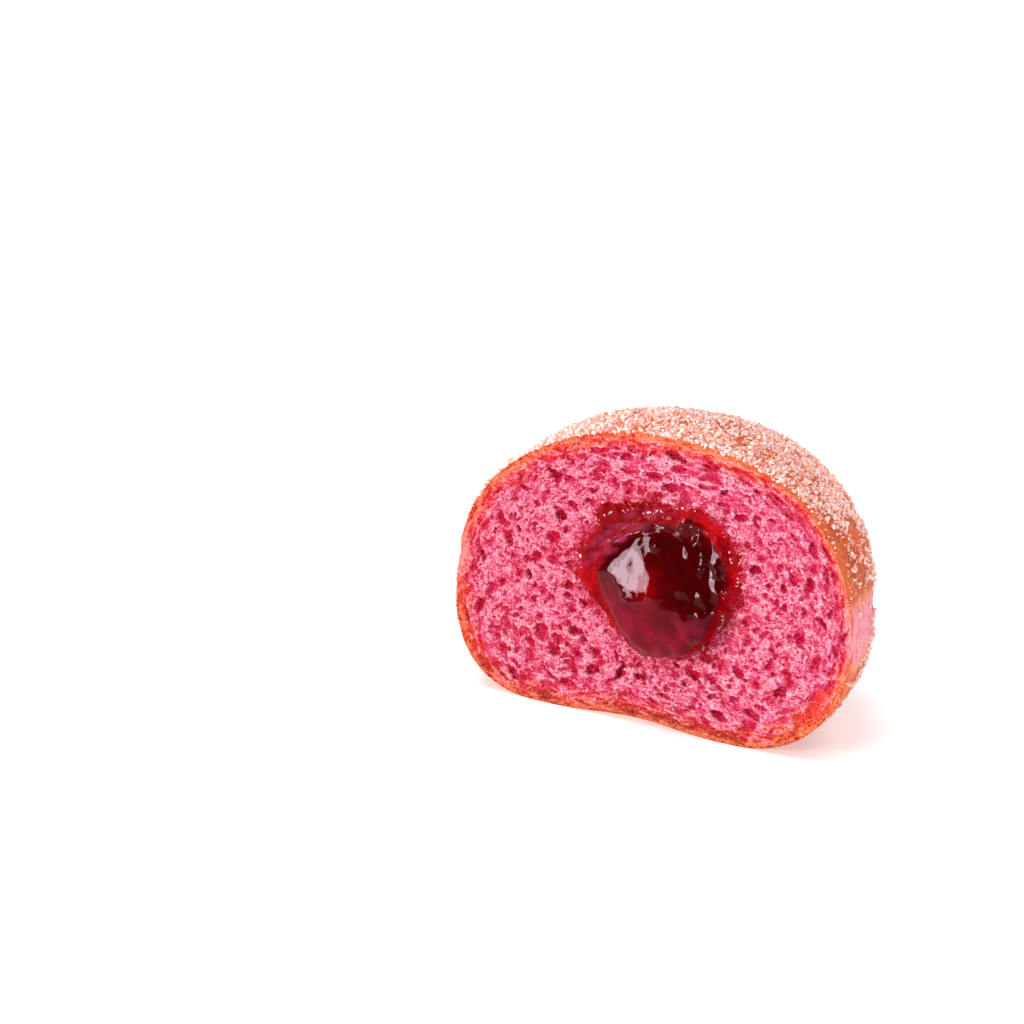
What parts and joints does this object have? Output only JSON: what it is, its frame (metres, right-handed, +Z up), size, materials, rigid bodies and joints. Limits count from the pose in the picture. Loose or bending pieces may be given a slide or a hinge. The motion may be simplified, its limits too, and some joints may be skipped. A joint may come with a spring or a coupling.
{
  "type": "jelly filled doughnut",
  "caption": "Half of a round sugared doughnut with pink crumb and a flat base, cut upright to show its swell of red jelly.",
  "frame": {"origin": "under the middle of the half's bounding box, on the surface it stands on", "axes": "+X along the width of the cut, +Y away from the cut into the dough, +Z up"},
  "size_m": [0.0814, 0.0436, 0.0599],
  "materials": {
    "crust": "fried dough, salmon brown outside with a pale pink waist, and an open pink crumb at the cut",
    "crumb": "open pored pink crumb, soft and matt",
    "jelly": "deep red fruit jelly, clear and wet",
    "sugar": "coarse white sugar crystals"
  },
  "bodies": {
    "root": {"dough": "crust", "jelly": "jelly"}
  },
  "joints": []
}
